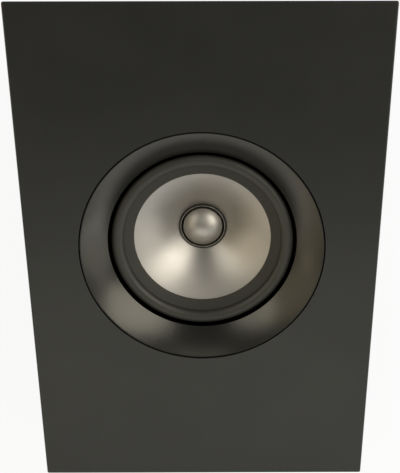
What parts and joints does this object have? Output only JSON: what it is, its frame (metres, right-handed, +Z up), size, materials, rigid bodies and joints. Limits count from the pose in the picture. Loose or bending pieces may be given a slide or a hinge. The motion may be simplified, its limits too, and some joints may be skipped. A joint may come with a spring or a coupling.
{
  "type": "height speaker",
  "caption": "Wedge-shaped height speaker: sloped black baffle, flush dished trim ring around a metal-cone driver, recessed screw terminals and a wall hanger on the rear.",
  "frame": {"origin": "on the floor, under the middle of the cabinet", "axes": "+Z up, +Y towards the rear wall, -Y towards the listener, +X to the listener's right"},
  "size_m": [0.18, 0.247, 0.1525],
  "materials": {
    "cabinet_vinyl": "matte",
    "trim_plastic": "satin",
    "cup_plastic": "satin",
    "frame_paint": "satin",
    "screw_black": "satin",
    "screw_steel": "satin",
    "cone_metal": "satin",
    "plug_metal": "satin",
    "former_foil": "satin",
    "coil_copper": "satin",
    "surround_rubber": "satin",
    "bead_glue": "satin",
    "gasket_foam": "matte",
    "spider_cloth": "matte",
    "motor_steel": "satin",
    "magnet_ferrite": "matte",
    "strip_board": "matte",
    "tab_brass": "satin",
    "tinsel_copper": "satin",
    "post_brass": "gloss",
    "knob_red": "gloss",
    "knob_black": "gloss",
    "hanger_steel": "satin",
    "board_laminate": "satin",
    "bobbin_plastic": "satin",
    "capacitor_film": "gloss",
    "resistor_ceramic": "matte",
    "wire_red": "satin",
    "wire_black": "satin",
    "pad_wadding": "matte",
    "foot_rubber": "matte"
  },
  "bodies": {
    "cabinet": {"baffle": "cabinet_vinyl", "left_side_panel": "cabinet_vinyl", "right_side_panel": "cabinet_vinyl", "bottom_panel": "cabinet_vinyl", "front_panel": "cabinet_vinyl", "rear_panel": "cabinet_vinyl", "trim_ring": "trim_plastic", "terminal_cup": "cup_plastic", "basket": "frame_paint", "driver_screws": "screw_black", "cup_screws": "screw_black", "hanger_screws": "screw_steel", "board_screws": "screw_steel", "phase_plug": "plug_metal", "coil_winding": "coil_copper", "surround": "surround_rubber", "basket_gasket": "gasket_foam", "cup_gasket": "gasket_foam", "spider": "spider_cloth", "top_plate": "motor_steel", "yoke": "motor_steel", "magnet": "magnet_ferrite", "tab_strip": "strip_board", "driver_tab_positive": "tab_brass", "driver_tab_negative": "tab_brass", "tab_rivets": "tab_brass", "post_lugs": "tab_brass", "post_nuts": "tab_brass", "tinsel_lead_positive": "tinsel_copper", "tinsel_lead_negative": "tinsel_copper", "red_post": "post_brass", "black_post": "post_brass", "hanger_plate": "hanger_steel", "network_board": "board_laminate", "coil_bobbin": "bobbin_plastic", "board_standoffs": "bobbin_plastic", "capacitor": "capacitor_film", "resistor": "resistor_ceramic", "supply_wire_positive": "wire_red", "driver_wire_positive": "wire_red", "supply_wire_negative": "wire_black", "driver_wire_negative": "wire_black", "damping_pad_left": "pad_wadding", "damping_pad_right": "pad_wadding", "foot_front_left": "foot_rubber", "foot_front_right": "foot_rubber", "foot_rear_left": "foot_rubber", "foot_rear_right": "foot_rubber"},
    "cone_assembly": {"cone": "cone_metal", "neck_bead": "bead_glue", "coil_former": "former_foil", "voice_coil": "coil_copper"},
    "red_collar": {"red_collar": "post_brass"},
    "red_knob": {"red_knob": "knob_red"},
    "black_collar": {"black_collar": "post_brass"},
    "black_knob": {"black_knob": "knob_black"}
  },
  "joints": [
    {"name": "cone_travel", "type": "slide", "parent": "cabinet", "child": "cone_assembly", "axis": [0, -0.342, 0.9397], "range_m": [-0.004, 0.004], "stiffness_N_per_m": 1500, "deforming": ["surround", "spider", "tinsel_lead_positive", "tinsel_lead_negative"]},
    {"name": "red_collar_slide", "type": "slide", "parent": "cabinet", "child": "red_collar", "axis": [0, 1, 0], "range_m": [0, 0.00502]},
    {"name": "red_knob_turn", "type": "hinge", "parent": "red_collar", "child": "red_knob", "pos_m": [-0.00953, 0.1043, 0.047], "axis": [0, 1, 0], "range_deg": [0, 1800]},
    {"name": "black_collar_slide", "type": "slide", "parent": "cabinet", "child": "black_collar", "axis": [0, 1, 0], "range_m": [0, 0.00502]},
    {"name": "black_knob_turn", "type": "hinge", "parent": "black_collar", "child": "black_knob", "pos_m": [0.00953, 0.1043, 0.047], "axis": [0, 1, 0], "range_deg": [0, 1800]}
  ],
  "couplings": [
    {"joint": "red_collar_slide", "follows": "red_knob_turn", "m_per_rad": 0.00015915},
    {"joint": "black_collar_slide", "follows": "black_knob_turn", "m_per_rad": 0.00015915}
  ]
}
